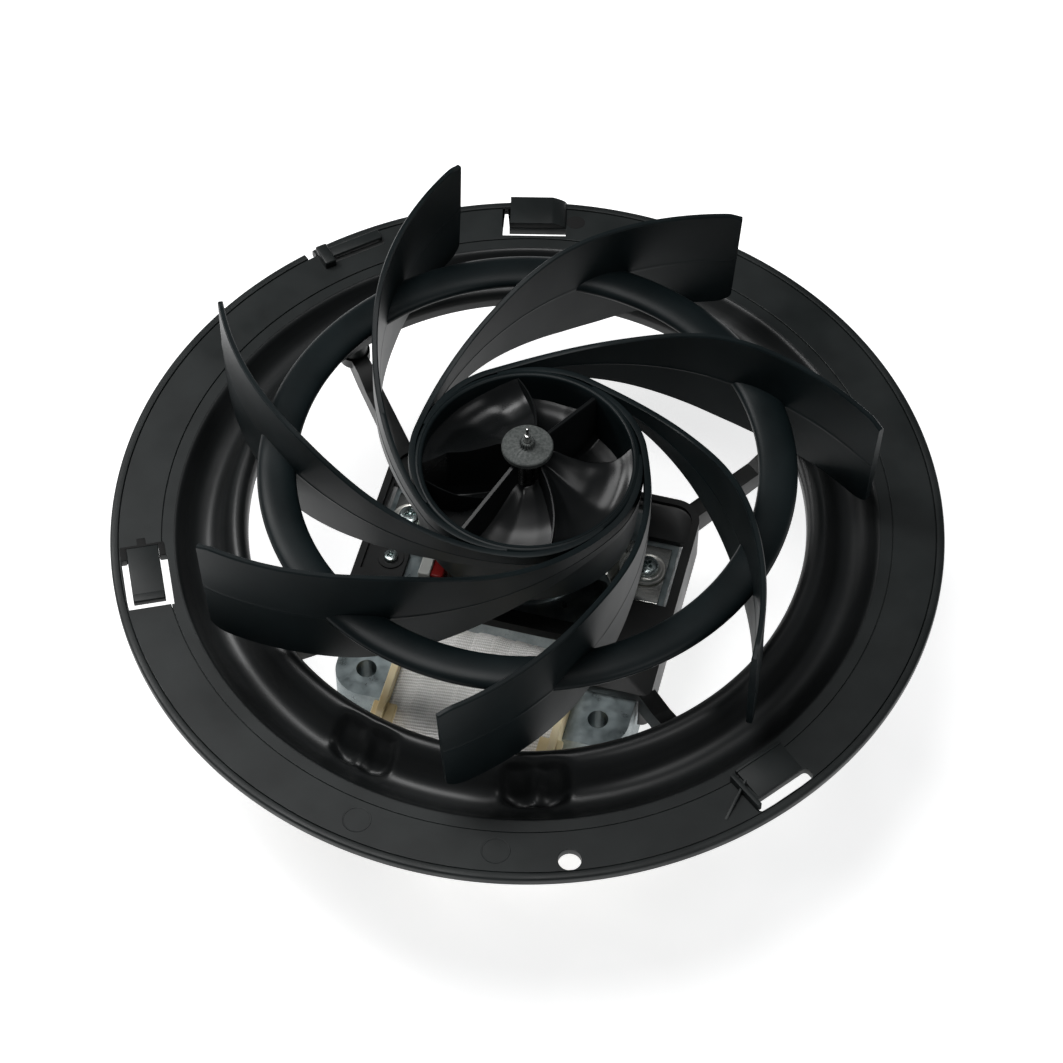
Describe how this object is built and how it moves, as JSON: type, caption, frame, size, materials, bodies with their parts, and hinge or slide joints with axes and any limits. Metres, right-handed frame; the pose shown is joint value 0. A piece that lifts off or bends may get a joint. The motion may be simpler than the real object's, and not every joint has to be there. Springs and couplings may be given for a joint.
{
  "type": "blower motor wheel",
  "caption": "Extractor-style blower unit: black inlet ring with a motor cradle, shaded-pole motor and an open wheel of tall backward-curved blades.",
  "frame": {"origin": "on the spin axis at the level of the flat flange face, the centre of the bayonet seat", "axes": "+Z along the spin axis from the motor towards the wheel tips; X along the line of the two bearing-bracket screws; -Y towards the coil"},
  "size_m": [0.28, 0.28, 0.1232],
  "materials": {
    "black_plastic": "fine matt grain",
    "black_gloss": "polished mould",
    "zinc_steel": "zinc plated sheet",
    "bright_steel": "bright plated",
    "shaft_steel": "ground",
    "copper": "enamelled copper wire and bare copper",
    "cream_plastic": "nylon",
    "white_tape": "woven tape",
    "bronze": "sintered bronze",
    "felt": "oiled felt",
    "cast_alu": "cast",
    "grey_plastic": "matt",
    "red_plastic": "moulded case",
    "disc_grey": "matt grey",
    "washer_zinc": "zinc plated"
  },
  "bodies": {
    "frame": {"inlet_ring": "black_plastic", "motor_cradle": "black_plastic", "arm_screws": "zinc_steel", "cradle_screws": "zinc_steel", "stator_core": "zinc_steel", "core_bar": "zinc_steel", "shading_rings": "copper", "bobbin": "cream_plastic", "coil_winding": "copper", "coil_tape": "white_tape", "winding_terminals": "zinc_steel", "cutout_holder": "grey_plastic", "thermal_cutout": "red_plastic", "upper_bracket": "bright_steel", "lower_bracket": "bright_steel", "upper_bearing": "bronze", "lower_bearing": "bronze", "felt_rings": "felt", "bracket_washers": "washer_zinc", "bracket_screws": "zinc_steel", "bracket_nuts": "zinc_steel"},
    "wheel": {"motor_shaft": "shaft_steel", "rotor_core": "zinc_steel", "rotor_end_rings": "cast_alu", "thrust_washers": "black_plastic", "wheel_hub": "black_gloss", "centre_disc": "disc_grey", "stiffening_ring": "black_gloss", "blade_1": "black_gloss", "blade_2": "black_gloss", "blade_3": "black_gloss", "blade_4": "black_gloss", "blade_5": "black_gloss", "blade_6": "black_gloss", "blade_7": "black_gloss"},
    "latch": {"release_latch": "black_plastic"}
  },
  "joints": [
    {"name": "wheel_spin", "type": "hinge", "parent": "frame", "child": "wheel", "pos_m": [0, 0, 0], "axis": [0, 0, 1], "continuous": true},
    {"name": "latch_flex", "type": "hinge", "parent": "frame", "child": "latch", "pos_m": [-0.1216, -0.04426, -0.0011], "axis": [-0.9026, -0.4305, 0], "range_deg": [-5, 7], "stiffness_Nm_per_rad": 0.05}
  ]
}
